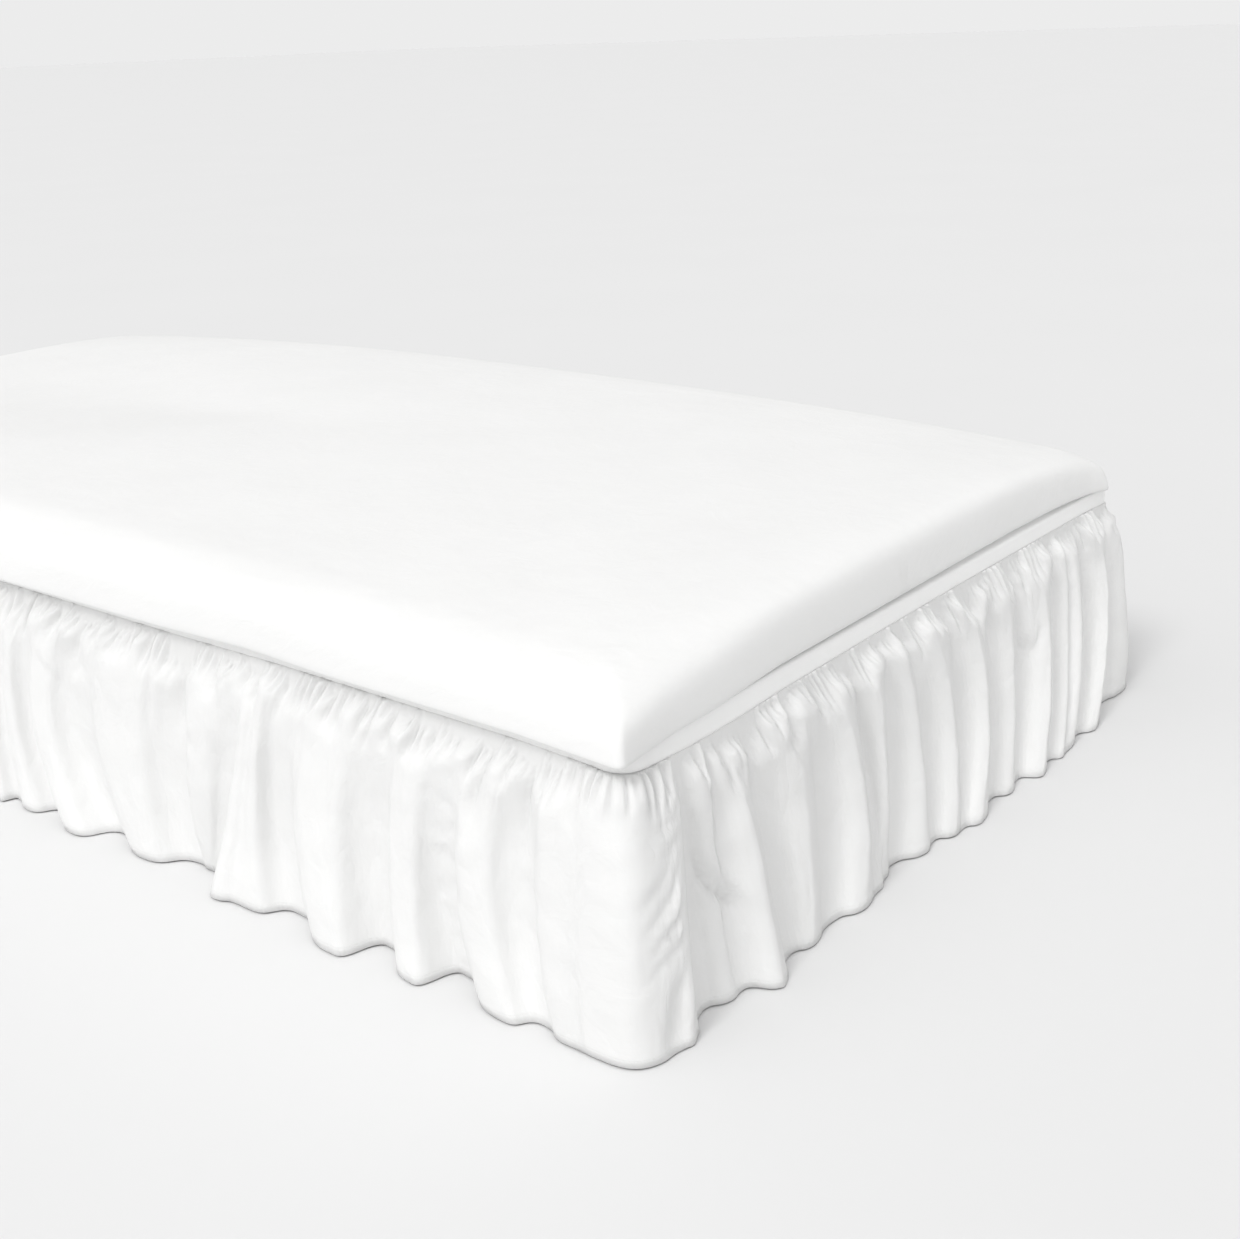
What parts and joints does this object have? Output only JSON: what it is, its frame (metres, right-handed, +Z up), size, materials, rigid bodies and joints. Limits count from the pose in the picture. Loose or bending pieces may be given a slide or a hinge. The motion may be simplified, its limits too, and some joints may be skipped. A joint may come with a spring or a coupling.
{
  "type": "bed skirt on a bed base with its mattress",
  "caption": "A white gathered bed skirt: its ruffle hangs in soft folds to the floor from a flat band round a low bed base, under a thin mattress in its sheet, and hides the space below.",
  "frame": {"origin": "on the floor, under the middle of the whole", "axes": "+Y from the foot of the bed to its head, +X to the right as seen from the foot, +Z up"},
  "size_m": [1.1133, 2.0653, 0.3646],
  "materials": {
    "band_cotton": "matte woven cotton",
    "ruffle_cotton": "matte woven cotton",
    "sheet_cotton": "matte woven cotton",
    "base_cloth": "matte cover cloth",
    "leg_wood": "satin"
  },
  "bodies": {
    "root": {"band": "band_cotton", "base": "base_cloth", "leg_left_foot": "leg_wood", "leg_left_head": "leg_wood", "leg_left_middle": "leg_wood", "leg_right_foot": "leg_wood", "leg_right_head": "leg_wood", "leg_right_middle": "leg_wood", "mattress": "sheet_cotton", "ruffle": "ruffle_cotton"}
  },
  "joints": []
}
